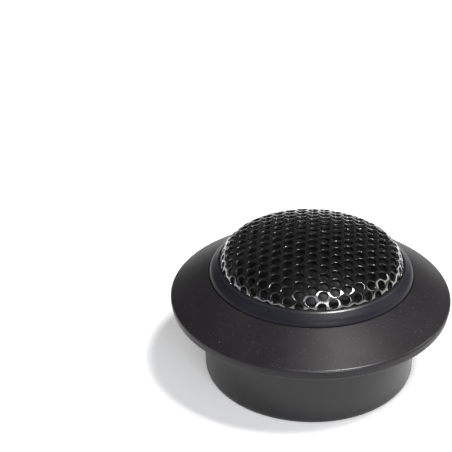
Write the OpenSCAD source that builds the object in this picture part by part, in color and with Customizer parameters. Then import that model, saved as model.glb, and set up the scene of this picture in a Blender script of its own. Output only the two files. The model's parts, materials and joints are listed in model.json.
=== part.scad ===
// Car tweeter in a flush mount: a dome tweeter capsule with a domed honeycomb grille,
// held by a twist lock in a cup whose conical flange lies on the panel.
// +Z points out of the grille. The origin is on the axis, in the plane of the panel surface,
// where the flange's rim rests.

/* [Flange and cup] */
// Outer diameter of the flange
flange_d = 60; // [56:0.5:72]
// Height of the flange's outer edge above the panel
rim_h = 2.3; // [1.6:0.1:3.5]
// How far the edge leans inwards at its foot
rim_lean = 0.3; // [0.2:0.1:1.5]
// Radius of the rounding on the flange's outer edge
rim_round = 0.5; // [0.2:0.1:0.7]
// Width of the land that rests on the panel
land_w = 1.6; // [1.0:0.1:2.0]
// Rise of the conical face from its outer edge to the bezel
cone_rise = 5.3; // [4:0.1:7]
// Thickness of the conical skin, measured along the axis
skin_t = 2.0; // [1.5:0.1:2.5]
// Diameter of the spigot that enters the panel cut-out, which the capsule's widths follow
spigot_d = 46; // [46:0.5:54]
// Length of the straight part of the spigot
spigot_l = 4; // [3:0.5:6]
// How far the cup narrows on each side, down to its foot
cup_draft = 0.4; // [0.2:0.1:1.2]
// Rounding around the cup's foot
foot_round = 2; // [0.5:0.1:2.2]
// Depth of the cup behind the panel surface
cup_depth = 16.4; // [15.6:0.2:24]
// Thickness of the cup's wall
cup_wall = 1.9; // [1.4:0.1:2.1]
// Thickness of the cup's floor
floor_t = 1.8; // [1.4:0.1:3]
// Number of stiffening ribs under the flange
rib_n = 12; // [6:1:24]
// Thickness of a stiffening rib
rib_t = 1.0; // [0.6:0.1:1.5]

/* [Fixing] */
// Distance between the two fixing screw holes in the cup's floor
fixing_pitch = 24; // [18:1:28]
// Diameter of a fixing screw hole
fixing_d = 3.5; // [2.5:0.1:4.2]
// Diameter of the countersink around a fixing screw hole
fixing_sink_d = 5.3; // [4.5:0.1:6.5]
// Bore of the cable grommet
cable_d = 3.2; // [2:0.1:4]
// Diameter of the grommet's flanges
grommet_d = 7.6; // [7:0.1:9]
// Thickness of each grommet flange
grommet_t = 0.8; // [0.5:0.1:0.8]

/* [Bezel and grille] */
// Thickness of the bezel's wall at its foot
bezel_wall = 1.7; // [1.3:0.1:2]
// Thickness of the bezel's skirt, which turns in the cup
skirt_t = 0.85; // [0.6:0.05:1]
// Height of the bezel's lip above the flange's inner edge
bezel_rise = 2.6; // [2:0.1:4]
// Height of the bezel's straight foot band above the flange's inner edge
bezel_band = 0.35; // [0.1:0.05:0.8]
// How deep the bezel sits below the flange's inner edge
bezel_sink = 1.2; // [0.8:0.1:1.6]
// Thickness of the bezel's lip over the grille
lip_t = 0.5; // [0.3:0.1:0.8]
// Width of the lip over the grille's rim
lip_w = 0.5; // [0.3:0.1:0.8]
// Outer rise of the domed grille above its rim
grille_rise = 6.6; // [5.5:0.1:8]
// Rounding of the grille's shoulder, between its upright wall and its crown
grille_shoulder = 4; // [2.5:0.1:5]
// Sheet thickness of the grille
grille_t = 0.8; // [0.5:0.1:1]
// Centre distance of neighbouring grille holes in a row
hole_pitch = 2.46; // [2.3:0.02:4]
// Centre distance of neighbouring rows
row_pitch = 2.52; // [2.3:0.02:4]
// Width of a hexagonal grille hole across its flats
hole_w = 2.1; // [1.2:0.05:2.2]

/* [Diaphragm and voice coil] */
// Outer diameter of the voice coil former
coil_d = 25.3; // [20:0.1:26]
// Thickness of the former
former_t = 0.15; // [0.1:0.05:0.2]
// Length of the former
former_l = 4.8; // [4:0.1:6]
// Radial thickness of the winding
winding_t = 0.3; // [0.2:0.05:0.3]
// Height of the winding
winding_h = 2.3; // [1.5:0.1:2.4]
// Rise of the dome above its base
dome_rise = 5.2; // [3:0.1:7]
// Thickness of the coated dome fabric
dome_t = 0.25; // [0.15:0.05:0.4]
// Width of the surround's half roll
roll_w = 2.9; // [2:0.1:3]
// Width of the surround's glued lip
surround_lip_w = 1.6; // [1:0.1:1.8]
// Thickness of the diaphragm gasket
gasket_t = 0.55; // [0.3:0.05:1]

/* [Motor] */
// Running gap between the former and the pole plate
pole_gap = 0.3; // [0.2:0.05:0.5]
// Running gap between the winding and the yoke
yoke_gap = 0.35; // [0.2:0.05:0.5]
// Thickness of the pole plate
pole_t = 2.5; // [2:0.1:3]
// How much smaller the magnet's radius is than the pole plate's
magnet_step = 0.6; // [0.2:0.1:2]
// Thickness of the magnet
magnet_t = 4; // [3:0.1:5]
// Thickness of the yoke's wall
yoke_wall = 2.1; // [1.5:0.1:2.1]
// Thickness of the yoke's floor
yoke_floor = 2.5; // [2:0.1:3]
// Diameter of the vent through the motor
vent_d = 4; // [2:0.1:5]
// Thickness of the felt on the pole plate
felt_t = 1.4; // [0.8:0.1:1.6]

/* [Capsule] */
// Space between a lug's tip and the cup's bore
lug_room = 0.8; // [0.5:0.1:1]
// Thickness of the shell's wall
shell_wall = 1.2; // [1:0.1:1.3]
// Thickness of the shell's floor
shell_floor = 1.4; // [1:0.1:1.6]
// Depth of the shell behind the face plate
shell_depth = 14; // [13.6:0.1:14.4]
// Thickness of the face plate
face_t = 1.6; // [1.4:0.1:2]
// Length of the bezel's skirt around the face plate
skirt_l = 2.0; // [1.6:0.1:2.4]
// Distance of a shell screw from the shell's outside
screw_in = 1.9; // [1.8:0.05:2]
// Diameter of a shell screw's shank
screw_d = 1.4; // [1:0.1:1.6]
// Diameter of a shell screw's head
screw_head_d = 2.6; // [2:0.1:2.8]
// Width of the wide terminal blade
blade_wide = 4.8; // [4:0.1:5]
// Width of the narrow terminal blade
blade_narrow = 2.8; // [2:0.1:3.5]
// Thickness of a terminal blade
blade_t = 0.5; // [0.4:0.05:0.8]

/* [Twist lock] */
// Turn between locked and free
lock_turn = 30; // [25:1:36]
// Angular width of a lug on the shell
lug_a = 14; // [10:1:16]
// Angular width of an entry gap in the cup's ledge
entry_a = 24; // [22:1:28]
// Radial height of a lug
lug_h = 1.1; // [0.8:0.05:1.2]
// Thickness of a lug, and of a ledge, along the axis
lug_t = 1.2; // [0.8:0.1:1.6]

/* [Hidden] */

$fn = 96;
// Overlap that keeps a cut clear of the face it starts from
eps = 0.05;
// Clearance around what turns in the cup
turn_gap = 0.25;
// Clearance between pieces that are fitted once
fit_gap = 0.05;
// Clearance between the shell's lugs and the cup's ledges, along the axis
lock_gap = 0.2;

plastic_black = [0.09, 0.09, 0.10];
steel_black = [0.05, 0.05, 0.06];
silk_black = [0.07, 0.06, 0.06];
zinc_grey = [0.62, 0.64, 0.66];
nickel_grey = [0.70, 0.70, 0.71];

// Flange and cup
flange_r = flange_d / 2;
spigot_r = spigot_d / 2;
foot_r = spigot_r - cup_draft;
bore_r = spigot_r - cup_wall;
// The bezel's skirt turns in the cup's bore, and the bezel's edge in its mouth
skirt_r = bore_r - turn_gap;
bezel_bore_r = skirt_r - skirt_t;
bezel_r = bezel_bore_r + bezel_wall;
mouth_r = bezel_r + turn_gap;
mouth_z = rim_h + cone_rise;
cone_slope = cone_rise / (flange_r - mouth_r);
shelf_z = mouth_z - bezel_sink;
// The cup is a little slimmer inside the flange than in the panel cut-out
neck_r = spigot_r - 0.5;
land_in_r = flange_r - rim_lean - land_w;
mouth_round = 0.2;
rib_foot_z = 0.8;
grommet_neck_r = grommet_d / 2 - 1.2;
grommet_z = grommet_t + 0.1 - cup_depth;
floor_z = floor_t - cup_depth;

// Bezel and grille
lip_z = mouth_z + bezel_rise;
lip_r = bezel_bore_r - lip_w;
grille_rim_z = lip_z - lip_t;
grille_base_r = lip_r - fit_gap;
grille_top_z = grille_rim_z + grille_rise;
// The crown is a ball that meets the shoulder's rounding smoothly; the shoulder is cut at 45 degrees
shoulder_r = grille_base_r - grille_shoulder;
crown_sum = pow(shoulder_r, 2) + pow(grille_rise, 2) - pow(grille_shoulder, 2);
grille_ball_r = crown_sum / (2 * (grille_rise - grille_shoulder));
grille_ball_z = grille_top_z - grille_ball_r;
clamp_top_z = grille_rim_z - grille_t;
clamp_in_r = grille_base_r - 0.6;
// Plain sheet left between the outermost holes and the grille's upright wall
grille_margin = 0.2;

// Face plate, from which the capsule hangs
bezel_foot_z = shelf_z + 0.1;
face_top_z = bezel_foot_z + 0.1;
face_z = face_top_z - face_t;
face_r = bezel_bore_r - 0.1;
surround_lip_t = 0.25;
clamp_z = face_top_z + surround_lip_t + gasket_t;

// Voice coil and motor: the pole plate and the yoke end at the face plate's back
coil_r = coil_d / 2;
winding_r = coil_r + winding_t;
roll_in_r = winding_r + 0.03;
roll_out_r = roll_in_r + roll_w;
pole_r = coil_r - former_t - pole_gap;
magnet_r = pole_r - magnet_step;
yoke_in_r = winding_r + yoke_gap;
yoke_r = yoke_in_r + yoke_wall;
pole_z = face_z - pole_t;
magnet_z = pole_z - magnet_t;
yoke_z = magnet_z - yoke_floor;
vent_r = vent_d / 2;
former_z = face_top_z + 0.6 - former_l;
winding_z = face_z - pole_t / 2 - winding_h / 2;
dome_z = face_top_z + 0.6;
dome_base_r = winding_r;
dome_ball_r = (pow(dome_base_r, 2) + pow(dome_rise, 2)) / (2 * dome_rise);
dome_ball_z = dome_z + dome_rise - dome_ball_r;

// Capsule shell and twist lock
shell_r = bore_r - lug_room - lug_h;
shell_in_r = shell_r - shell_wall;
shell_z = face_z - shell_depth;
shell_floor_z = shell_z + shell_floor;
screw_r = shell_r - screw_in;
// Radius of a screw boss inside the shell
boss_r = 1.45;
foam_r = shell_in_r - 4;
screw_n = 3;
lock_n = 3;
lug_top_z = -4.8;
ledge_z = lug_top_z + lock_gap;
ledge_r = shell_r + turn_gap;
// Angular width of a stop, and the angle left between it and a lug
stop_a = 3;
stop_play = 1;
screw_turn = 30;

// Terminals
blade_x = 4.2;
blade_y = -9;
board_l = 16;
board_w = 6;
board_t = 1.2;
blade_top_z = shell_floor_z + 1.2;
blade_end_z = shell_z - board_t - 2.2;
lead_d = 0.5;
lead_slot_w = 1.6;
// Ring under the face plate that centres the yoke
collar_r = yoke_r + 1.1;
collar_h = 1.5;
// Radius at which the leads drop past the motor
drop_r = (collar_r + shell_in_r) / 2;
lead_slot_r = drop_r + lead_d / 2 + 0.1;
lead_a = [-104, -76];

// Straight ring between two radii, standing on z
module ring(outer, inner, z, height) {
  translate([0, 0, z])
    difference() {
      cylinder(r = outer, h = height);
      translate([0, 0, -eps])
        cylinder(r = inner, h = height + 2 * eps);
    }
}

// Part of a ring, from one angle to another
module ring_sector(outer, inner, z, height, from, to) {
  translate([0, 0, z])
    rotate([0, 0, from])
      rotate_extrude(angle = to - from)
        translate([inner, 0])
          square([outer - inner, height]);
}

// Points along an arc in a profile
function arc(x, z, r, from, to, steps) =
  [for (i = [0:steps]) let (a = from + (to - from) * i / steps) [x + r * cos(a), z + r * sin(a)]];

// Height of the cone's upper face at a radius
function cone_z(r) = mouth_z - (r - mouth_r) * cone_slope;

// Radius of the cup's outside, and of its bore, at a height behind the panel
function cup_r(z) = z > -spigot_l ? spigot_r
  : spigot_r + (spigot_r - foot_r) * (z + spigot_l) / (cup_depth - spigot_l);
function cup_bore_r(z) = cup_r(z) - cup_wall;

module flush_cup_body() {
  rotate_extrude()
    polygon(concat(
      [[0, -cup_depth]],
      arc(foot_r - foot_round, foot_round - cup_depth, foot_round, -90, 0, 6),
      [
        [spigot_r, -spigot_l],
        [spigot_r, 0],
        [neck_r, spigot_r - neck_r],
        [neck_r, cone_z(neck_r) - skin_t],
        [land_in_r, cone_z(land_in_r) - skin_t],
        [land_in_r, 0],
        [flange_r - rim_lean, 0]
      ],
      arc(flange_r - rim_round, rim_h - rim_round, rim_round, -20, 56, 4),
      arc(mouth_r + mouth_round, mouth_z - mouth_round, mouth_round, 60, 180, 4),
      [
        [mouth_r, shelf_z],
        [bore_r, shelf_z],
        [bore_r, -spigot_l],
        [cup_bore_r(floor_z), floor_z],
        [0, floor_z]
      ]
    ));
}

module flange_ribs() {
  in_r = spigot_r - cup_wall / 2;
  out_r = land_in_r + land_w / 2;
  for (i = [0:rib_n - 1])
    rotate([0, 0, (i + 0.5) * 360 / rib_n])
      rotate([90, 0, 0])
        translate([0, 0, -rib_t / 2])
          linear_extrude(rib_t)
            polygon([
              [in_r, rib_foot_z],
              [out_r, rib_foot_z],
              [out_r, cone_z(out_r) - skin_t / 2],
              [in_r, cone_z(in_r) - skin_t / 2]
            ]);
}

// Ledges that hold the shell's lugs, with a stop under each end
module lock_ledges() {
  pitch = 360 / lock_n;
  root_r = bore_r + cup_wall / 2;
  stop_h = lug_t + 2 * lock_gap;
  for (i = [0:lock_n - 1])
    rotate([0, 0, i * pitch]) {
      ring_sector(root_r, ledge_r, ledge_z, lug_t, entry_a / 2, pitch - entry_a / 2);
      for (from = [lock_turn + lug_a / 2 + stop_play, pitch - lug_a / 2 - stop_play - stop_a])
        ring_sector(root_r - eps, ledge_r, ledge_z - stop_h, stop_h + eps, from, from + stop_a);
    }
}

module flush_cup() {
  color(plastic_black)
    difference() {
      union() {
        flush_cup_body();
        flange_ribs();
        lock_ledges();
      }
      // Seat of the grommet, and the recess that keeps its lower flange off the surface below
      translate([0, 0, -cup_depth - eps])
        cylinder(r = grommet_neck_r + fit_gap, h = floor_t + 2 * eps);
      translate([0, 0, -cup_depth - eps])
        cylinder(r = grommet_d / 2 + 2 * fit_gap, h = grommet_z + cup_depth + eps);
      // Countersunk fixing holes
      for (side = [-1, 1])
        translate([side * fixing_pitch / 2, 0, -cup_depth]) {
          translate([0, 0, -eps])
            cylinder(d = fixing_d, h = floor_t + 2 * eps);
          translate([0, 0, floor_t - (fixing_sink_d - fixing_d) / 2])
            cylinder(d1 = fixing_d, d2 = fixing_sink_d + 2 * eps, h = (fixing_sink_d - fixing_d) / 2 + eps);
        }
    }
}

module cable_grommet() {
  color([0.04, 0.04, 0.04])
    difference() {
      union() {
        translate([0, 0, grommet_z - grommet_t])
          cylinder(r = grommet_d / 2, h = grommet_t);
        translate([0, 0, grommet_z - eps])
          cylinder(r = grommet_neck_r, h = floor_z - grommet_z + 2 * eps);
        translate([0, 0, floor_z])
          cylinder(r1 = grommet_d / 2, r2 = grommet_neck_r + 0.6, h = grommet_t);
      }
      translate([0, 0, -cup_depth - 1])
        cylinder(d = cable_d, h = floor_t + grommet_t + 2);
    }
}

module bezel_ring() {
  band_z = mouth_z + bezel_band;
  color(plastic_black)
    rotate_extrude()
      polygon(concat(
        [
          [bezel_bore_r, face_z - skirt_l],
          [skirt_r, face_z - skirt_l],
          [skirt_r, bezel_foot_z],
          [bezel_r, bezel_foot_z],
          [bezel_r, band_z]
        ],
        // Convex shoulder that rises to the lip
        arc(bezel_r - 3.4, band_z - 0.9, 3.5, 15, 50, 5),
        arc(lip_r + 0.35, lip_z - 0.25, 0.25, 70, 110, 2),
        [
          [lip_r, lip_z - 0.2],
          [lip_r, grille_rim_z],
          [bezel_bore_r, grille_rim_z]
        ]
      ));
}

// Solid under the grille's outer side, or under its inner side when inset by the sheet's thickness
module grille_dome(inset, low) {
  cone_r = shoulder_r + (grille_shoulder - inset) * sqrt(2);
  intersection() {
    // The ball lies on its side, so that its poles and its seam are clear of the holes
    translate([0, 0, grille_ball_z])
      rotate([90, 0, 0])
        sphere(r = grille_ball_r - inset);
    translate([0, 0, low])
      cylinder(r1 = cone_r + grille_rim_z - low, r2 = cone_r - grille_rise, h = grille_top_z - low);
    translate([0, 0, low])
      cylinder(r = grille_base_r - inset, h = grille_rise + 5);
  }
}

// Holes in straight rows seen from above, each row half a step on from the last
module grille_holes() {
  reach = grille_base_r - grille_t - grille_margin - hole_w / sqrt(3);
  columns = ceil(reach / row_pitch);
  rows = ceil(reach / hole_pitch) + columns / 2;
  for (j = [-columns:columns], i = [-rows:rows]) {
    x = j * row_pitch;
    y = (i + j / 2) * hole_pitch;
    if (norm([x, y]) < reach)
      translate([x, y, grille_rim_z])
        cylinder(d = hole_w / cos(30), h = grille_rise + 1, $fn = 6);
  }
}

module grille() {
  color(steel_black)
    difference() {
      union() {
        difference() {
          grille_dome(0, clamp_top_z);
          grille_dome(grille_t, clamp_top_z - 1);
        }
        ring(bezel_bore_r - fit_gap, clamp_in_r, clamp_top_z, grille_t);
      }
      grille_holes();
    }
}

module clamp_ring() {
  flare_r = roll_out_r + 0.4;
  color(plastic_black)
    rotate_extrude()
      polygon([
        [flare_r, clamp_z],
        [bezel_bore_r - fit_gap, clamp_z],
        [bezel_bore_r - fit_gap, clamp_top_z],
        [clamp_in_r, clamp_top_z],
        [flare_r, clamp_z + 0.4]
      ]);
}

module diaphragm_gasket() {
  color([0.16, 0.16, 0.16])
    ring(roll_out_r + surround_lip_w + 0.7, roll_out_r + 0.2, clamp_z - gasket_t, gasket_t);
}

module face_plate() {
  color(plastic_black)
    difference() {
      union() {
        ring(face_r, yoke_in_r + 0.1, face_z, face_t);
        ring(collar_r, yoke_r + fit_gap, face_z - collar_h, collar_h + eps);
      }
      // Slots for the two tinsel leads
      for (a = lead_a)
        rotate([0, 0, a])
          translate([yoke_in_r - 1, -lead_slot_w / 2, face_z - 2])
            cube([lead_slot_r - yoke_in_r + 1, lead_slot_w, face_t + 1.7]);
      // Holes that the shell screws bite into
      for (i = [0:screw_n - 1])
        rotate([0, 0, screw_turn + i * 360 / screw_n])
          translate([screw_r, 0, face_z - 2])
            cylinder(d = screw_d, h = 2 + face_t - 0.4);
    }
}

module surround() {
  mid = (roll_in_r + roll_out_r) / 2;
  half = roll_w / 2;
  t = surround_lip_t;
  z = face_top_z;
  color(silk_black)
    rotate_extrude()
      polygon(concat(
        [[roll_out_r + surround_lip_w, z], [roll_out_r + surround_lip_w, z + t]],
        [for (p = arc(mid, z + t, half, 0, 180, 10)) [p[0], z + t + (p[1] - z - t) * 0.8]],
        [[roll_in_r, z + t], [roll_in_r, z + 0.05]],
        [for (p = arc(mid, z + 0.05, half - t, 180, 0, 10)) [p[0], z + 0.05 + (p[1] - z - 0.05) * 0.8]],
        [[roll_out_r, z]]
      ));
}

module dome() {
  color(silk_black)
    union() {
      intersection() {
        translate([0, 0, dome_ball_z])
          difference() {
            sphere(r = dome_ball_r);
            sphere(r = dome_ball_r - dome_t);
          }
        translate([0, 0, dome_z - 0.15])
          cylinder(r = dome_base_r, h = dome_rise + 1);
      }
      ring(dome_base_r, coil_r, face_top_z + 0.1, dome_z - face_top_z - 0.1 + 0.1);
    }
}

module coil_former() {
  color([0.65, 0.42, 0.12])
    ring(coil_r, coil_r - former_t, former_z, former_l - 0.3);
}

module coil_winding() {
  color([0.72, 0.38, 0.16])
    ring(winding_r, coil_r, winding_z, winding_h);
}

// Wire through a list of points, as straight runs that reach past each corner
module wire(points, d) {
  last = len(points) - 2;
  for (i = [0:last]) {
    run = points[i + 1] - points[i];
    before = i > 0 ? d * 0.3 : 0;
    after = i < last ? d * 0.3 : 0;
    translate(points[i])
      rotate([0, acos(run[2] / norm(run)), atan2(run[1], run[0])])
        translate([0, 0, -before])
          cylinder(d = d, h = norm(run) + before + after, $fn = 10);
  }
}

module tinsel_leads() {
  slot_mid_z = face_z + 0.6;
  sides = [-1, 1];
  color([0.72, 0.55, 0.35])
    for (k = [0, 1]) {
      a = lead_a[k];
      out = [cos(a), sin(a), 0];
      foot = [sides[k] * blade_x, blade_y - blade_t / 2 - lead_d / 2, 0];
      wire([
        out * (coil_r + lead_d / 2 + 0.02) + [0, 0, slot_mid_z],
        out * (yoke_in_r + 0.8) + [0, 0, slot_mid_z + 0.3],
        out * (drop_r - 0.4) + [0, 0, slot_mid_z - 0.2],
        out * drop_r + [0, 0, face_z - 1],
        out * drop_r + [0, 0, yoke_z - 0.6],
        foot + [0, 0, blade_top_z - 0.2],
        foot + [0, 0, shell_floor_z + 0.3]
      ], lead_d);
    }
}

module felt_pad() {
  color([0.35, 0.34, 0.33])
    ring(pole_r - 1.2, vent_r + 0.4, face_z, felt_t);
}

module pole_plate() {
  color(zinc_grey)
    ring(pole_r, vent_r, pole_z, pole_t);
}

module magnet() {
  color(nickel_grey)
    ring(magnet_r, vent_r, magnet_z, magnet_t);
}

module yoke() {
  color(zinc_grey)
    rotate_extrude()
      polygon([
        [vent_r, yoke_z],
        [yoke_r - 0.6, yoke_z],
        [yoke_r, yoke_z + 0.6],
        [yoke_r, face_z],
        [yoke_in_r, face_z],
        [yoke_in_r, magnet_z],
        [vent_r, magnet_z]
      ]);
}

module chamber_foam() {
  foam_t = yoke_z - shell_floor_z - 0.2;
  color([0.20, 0.20, 0.21])
    difference() {
      translate([0, 0, shell_floor_z])
        cylinder(r = foam_r, h = foam_t);
      // Cleared around the terminals
      translate([-board_l / 2 - 1, -20, shell_floor_z - eps])
        cube([board_l + 2, 20 + blade_y + 2.5, foam_t + 2 * eps]);
    }
}

module shell_lugs() {
  for (i = [0:lock_n - 1]) {
    a = lock_turn + i * 360 / lock_n;
    ring_sector(shell_r + lug_h, shell_r - shell_wall / 2, lug_top_z - lug_t, lug_t, a - lug_a / 2, a + lug_a / 2);
  }
}

module capsule_shell() {
  color(plastic_black)
    difference() {
      union() {
        difference() {
          translate([0, 0, shell_z])
            cylinder(r = shell_r, h = shell_depth);
          translate([0, 0, shell_floor_z])
            cylinder(r = shell_in_r, h = shell_depth);
        }
        for (i = [0:screw_n - 1])
          rotate([0, 0, screw_turn + i * 360 / screw_n])
            translate([screw_r, 0, shell_z])
              intersection() {
                cylinder(r = boss_r, h = shell_depth - 1.6);
                translate([-screw_r, 0, 0])
                  cylinder(r = shell_r, h = shell_depth);
              }
        shell_lugs();
      }
      for (i = [0:screw_n - 1])
        rotate([0, 0, screw_turn + i * 360 / screw_n])
          translate([screw_r, 0, shell_z - eps]) {
            cylinder(d = screw_d + 0.1, h = shell_depth + 1);
            cylinder(d = screw_head_d + 0.2, h = 1 + eps);
          }
      // Slots for the terminal blades
      for (side = [-1, 1])
        translate([side * blade_x - blade_slot_w(side) / 2, blade_y - blade_t / 2 - fit_gap, shell_z - eps])
          cube([blade_slot_w(side), blade_t + 2 * fit_gap, shell_floor + 2 * eps]);
    }
}

function blade_w(side) = side < 0 ? blade_wide : blade_narrow;
function blade_slot_w(side) = blade_w(side) + 2 * fit_gap;

module shell_screws() {
  color(zinc_grey)
    for (i = [0:screw_n - 1])
      rotate([0, 0, screw_turn + i * 360 / screw_n])
        translate([screw_r, 0, shell_z])
          difference() {
            union() {
              translate([0, 0, 0.1])
                cylinder(d = screw_head_d, h = 0.9);
              translate([0, 0, 0.5])
                cylinder(d = screw_d, h = shell_depth + face_t - 0.5 - 0.5);
            }
            // Cross recess
            for (turn = [0, 90])
              rotate([0, 0, turn])
                translate([-0.8, -0.2, 0])
                  cube([1.6, 0.4, 0.5]);
          }
}

module terminal_board() {
  color([0.30, 0.20, 0.10])
    difference() {
      translate([-board_l / 2, blade_y - board_w / 2, shell_z - board_t])
        cube([board_l, board_w, board_t]);
      for (side = [-1, 1])
        translate([side * blade_x - blade_slot_w(side) / 2, blade_y - blade_t / 2 - fit_gap, shell_z - board_t - eps])
          cube([blade_slot_w(side), blade_t + 2 * fit_gap, board_t + 2 * eps]);
    }
}

// Flat blade with a shoulder on the shell's floor and a hole for a soldered wire
module terminal_blade(side) {
  w = blade_w(side);
  translate([side * blade_x, blade_y + blade_t / 2, 0])
    rotate([90, 0, 0])
      linear_extrude(blade_t)
        difference() {
          union() {
            translate([-w / 2, blade_end_z + 0.5])
              square([w, shell_floor_z - blade_end_z]);
            translate([-w / 2 + 0.5, blade_end_z])
              square([w - 1, 1]);
            translate([-w / 2 - 0.5, shell_floor_z])
              square([w + 1, blade_top_z - shell_floor_z]);
          }
          translate([0, blade_end_z + 1.2])
            circle(d = 1);
        }
}

module terminal_wide() {
  color([0.80, 0.72, 0.45])
    terminal_blade(-1);
}

module terminal_narrow() {
  color([0.80, 0.72, 0.45])
    terminal_blade(1);
}

flush_cup();
cable_grommet();
bezel_ring();
grille();
clamp_ring();
diaphragm_gasket();
face_plate();
surround();
dome();
coil_former();
coil_winding();
tinsel_leads();
felt_pad();
pole_plate();
magnet();
yoke();
chamber_foam();
capsule_shell();
shell_screws();
terminal_board();
terminal_wide();
terminal_narrow();
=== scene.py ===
"""Car tweeter in a flush mount: shells, honeycomb grille, diaphragm, motor and their finishes."""
import json
import math

import bmesh
import bpy
from bpy.props import FloatProperty, FloatVectorProperty, IntProperty, PointerProperty
from mathutils import Matrix, Vector


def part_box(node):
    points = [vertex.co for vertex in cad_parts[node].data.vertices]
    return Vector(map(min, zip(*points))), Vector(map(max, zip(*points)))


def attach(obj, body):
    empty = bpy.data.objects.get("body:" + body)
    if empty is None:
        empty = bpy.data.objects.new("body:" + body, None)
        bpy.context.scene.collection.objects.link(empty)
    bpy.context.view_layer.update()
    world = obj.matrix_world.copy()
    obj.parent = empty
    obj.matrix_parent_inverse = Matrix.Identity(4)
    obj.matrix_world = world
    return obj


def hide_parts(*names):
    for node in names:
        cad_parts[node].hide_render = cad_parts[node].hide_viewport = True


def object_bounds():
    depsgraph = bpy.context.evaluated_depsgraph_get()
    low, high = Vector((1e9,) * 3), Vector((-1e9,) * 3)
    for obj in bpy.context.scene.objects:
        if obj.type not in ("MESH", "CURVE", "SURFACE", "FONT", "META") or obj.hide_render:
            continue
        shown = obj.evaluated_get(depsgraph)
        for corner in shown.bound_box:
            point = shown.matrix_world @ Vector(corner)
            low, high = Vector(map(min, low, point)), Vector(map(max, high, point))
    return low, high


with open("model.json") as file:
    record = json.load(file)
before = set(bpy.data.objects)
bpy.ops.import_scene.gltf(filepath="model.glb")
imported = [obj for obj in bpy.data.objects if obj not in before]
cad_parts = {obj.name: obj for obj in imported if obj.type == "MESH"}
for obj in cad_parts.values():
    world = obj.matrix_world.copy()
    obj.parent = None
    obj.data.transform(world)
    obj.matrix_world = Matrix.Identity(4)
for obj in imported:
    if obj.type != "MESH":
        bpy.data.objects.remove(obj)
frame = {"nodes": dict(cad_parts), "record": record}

bl_info = {
    "name": "Flush Mount Tweeter",
    "version": (1, 0, 0),
    "blender": (4, 5, 0),
    "location": "View3D > Sidebar > Tweeter",
    "description": "Finishes the pieces of a dome tweeter with a honeycomb grille",
    "category": "Object",
}

MM = 0.001
FULL_TURN = math.tau
# Steps round the axis of a turned piece
ROUND_STEPS = 192
# Clearance between pieces that fit together
PLAY = 0.1 * MM
CAD_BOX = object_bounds()
CUP_LOW, CUP_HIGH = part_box("flush_cup")
BEZEL_LOW, BEZEL_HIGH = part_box("bezel_ring")
GRILLE_LOW, GRILLE_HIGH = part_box("grille")
DOME_LOW, DOME_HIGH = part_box("dome")
SURROUND_LOW, SURROUND_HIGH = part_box("surround")
CLAMP_LOW, CLAMP_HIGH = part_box("clamp_ring")
GROMMET_LOW, GROMMET_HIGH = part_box("cable_grommet")
WINDING_LOW, WINDING_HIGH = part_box("coil_winding")
SHELL_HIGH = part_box("capsule_shell")[1]
MOUNTS = {mount["name"]: mount for mount in frame["record"]["mounts"]}
SPIGOT_R = MOUNTS["panel_spigot"]["dims"]["r_mm"] * MM


def length(name, description, millimetres):
    """A size that the user sets, given in millimetres."""
    return FloatProperty(
        name=name, description=description, default=millimetres * MM, unit="LENGTH", precision=5)


def angle(name, description, degrees):
    """An angle that the user sets, given in degrees."""
    return FloatProperty(name=name, description=description, default=math.radians(degrees), subtype="ANGLE")


def count(name, description, default, low, high):
    """A whole number that the user sets."""
    return IntProperty(name=name, description=description, default=default, min=low, max=high)


def power(name, watts):
    """The power of a softbox, which the user sets in watts."""
    return FloatProperty(name=name, description="Power in watts", default=watts, min=0.0)


def colour(name, description, red, green, blue):
    """A colour that the user sets."""
    return FloatVectorProperty(
        name=name, description=description, default=(red, green, blue), subtype="COLOR", min=0.0, max=1.0)


# Sizes and colours


class TweeterMountSizes(bpy.types.PropertyGroup):
    """Sizes of the flange, the cup and the grommet"""
    rim_height: length("Rim height", "Height of the flange's outer edge above the panel", 2.3)
    rim_lean: length("Rim lean", "How far the edge leans inwards at its foot", 0.3)
    land: length("Land", "Width of the ring that rests on the panel", 1.6)
    skin: length("Skin", "Thickness of the conical skin along the axis", 2.0)
    spigot_length: length("Spigot length", "Length of the straight part of the spigot", 4.0)
    neck_step: length("Neck step", "How much slimmer the cup is above the panel", 0.5)
    draft: length("Draft", "How far the cup narrows on each side", 0.4)
    wall: length("Wall", "Thickness of the cup's wall", 1.9)
    foot_round: length("Foot rounding", "Rounding around the cup's foot", 2.0)
    floor: length("Floor", "Thickness of the cup's floor", 1.8)
    turn_gap: length("Turning gap", "Clearance around the capsule", 0.25)
    mouth_gap: length("Mouth gap", "Clearance around the bezel's edge", 0.1)
    shelf_depth: length("Shelf depth", "Depth of the bezel's seat below the mouth", 1.2)
    rib_width: length("Rib width", "Thickness of a stiffening rib", 1.0)
    rib_count: count("Ribs", "Number of stiffening ribs", 12, 3, 36)
    lock_count: count("Locks", "Number of ledges in the twist lock", 3, 2, 4)
    ledge_top: length("Ledge top", "Height of the upper side of a lock ledge", -3.4)
    ledge_thickness: length("Ledge thickness", "Thickness of a lock ledge", 1.2)
    grommet_flange: length("Grommet flange", "Thickness of each grommet flange", 0.8)
    grommet_lip: length("Grommet lip", "How far the cup's floor reaches into the grommet's groove", 1.25)


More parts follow.
